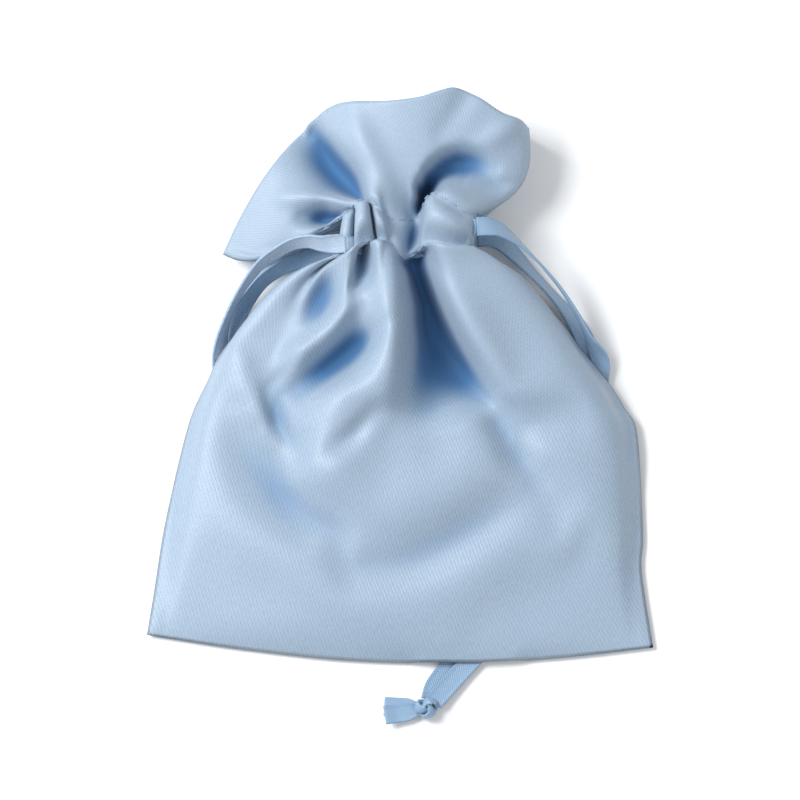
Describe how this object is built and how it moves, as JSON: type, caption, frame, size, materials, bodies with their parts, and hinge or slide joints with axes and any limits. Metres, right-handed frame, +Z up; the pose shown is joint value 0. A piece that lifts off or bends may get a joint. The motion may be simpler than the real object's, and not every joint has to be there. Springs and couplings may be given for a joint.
{
  "type": "drawstring gift pouch",
  "caption": "Small satin gift pouch drawn closed by ribbon drawstrings in a gathered casing under a fanned frill, lying on its back.",
  "frame": {"origin": "on the table under the middle of the pouch's own box, without its free ribbons", "axes": "+X to the right of the pouch, +Y from the bottom seam to the mouth, +Z up from the table through the front"},
  "size_m": [0.08, 0.1001, 0.016],
  "materials": {
    "satin": "satin",
    "ribbon": "satin",
    "thread": "satin"
  },
  "bodies": {
    "pouch": {"front_panel": "satin", "back_panel": "satin", "left_side_seam": "satin", "right_side_seam": "satin", "bottom_seam": "satin", "front_casing": "satin", "back_casing": "satin", "front_heading": "satin", "back_heading": "satin", "left_heading_seam": "satin", "right_heading_seam": "satin", "front_upper_stitching": "thread", "front_lower_stitching": "thread", "back_upper_stitching": "thread", "back_lower_stitching": "thread"},
    "left_drawstring": {"left_casing_loop": "ribbon", "left_front_strand": "ribbon", "left_back_strand": "ribbon", "left_knot": "ribbon", "left_tails": "ribbon"},
    "right_drawstring": {"right_casing_loop": "ribbon", "right_front_strand": "ribbon", "right_back_strand": "ribbon", "right_knot": "ribbon", "right_tails": "ribbon"}
  },
  "joints": [
    {"name": "left_pull", "type": "slide", "parent": "pouch", "child": "left_drawstring", "axis": [-1, 0, 0], "range_m": [0, 0.003]},
    {"name": "right_pull", "type": "slide", "parent": "pouch", "child": "right_drawstring", "axis": [1, 0, 0], "range_m": [0, 0.003]}
  ]
}
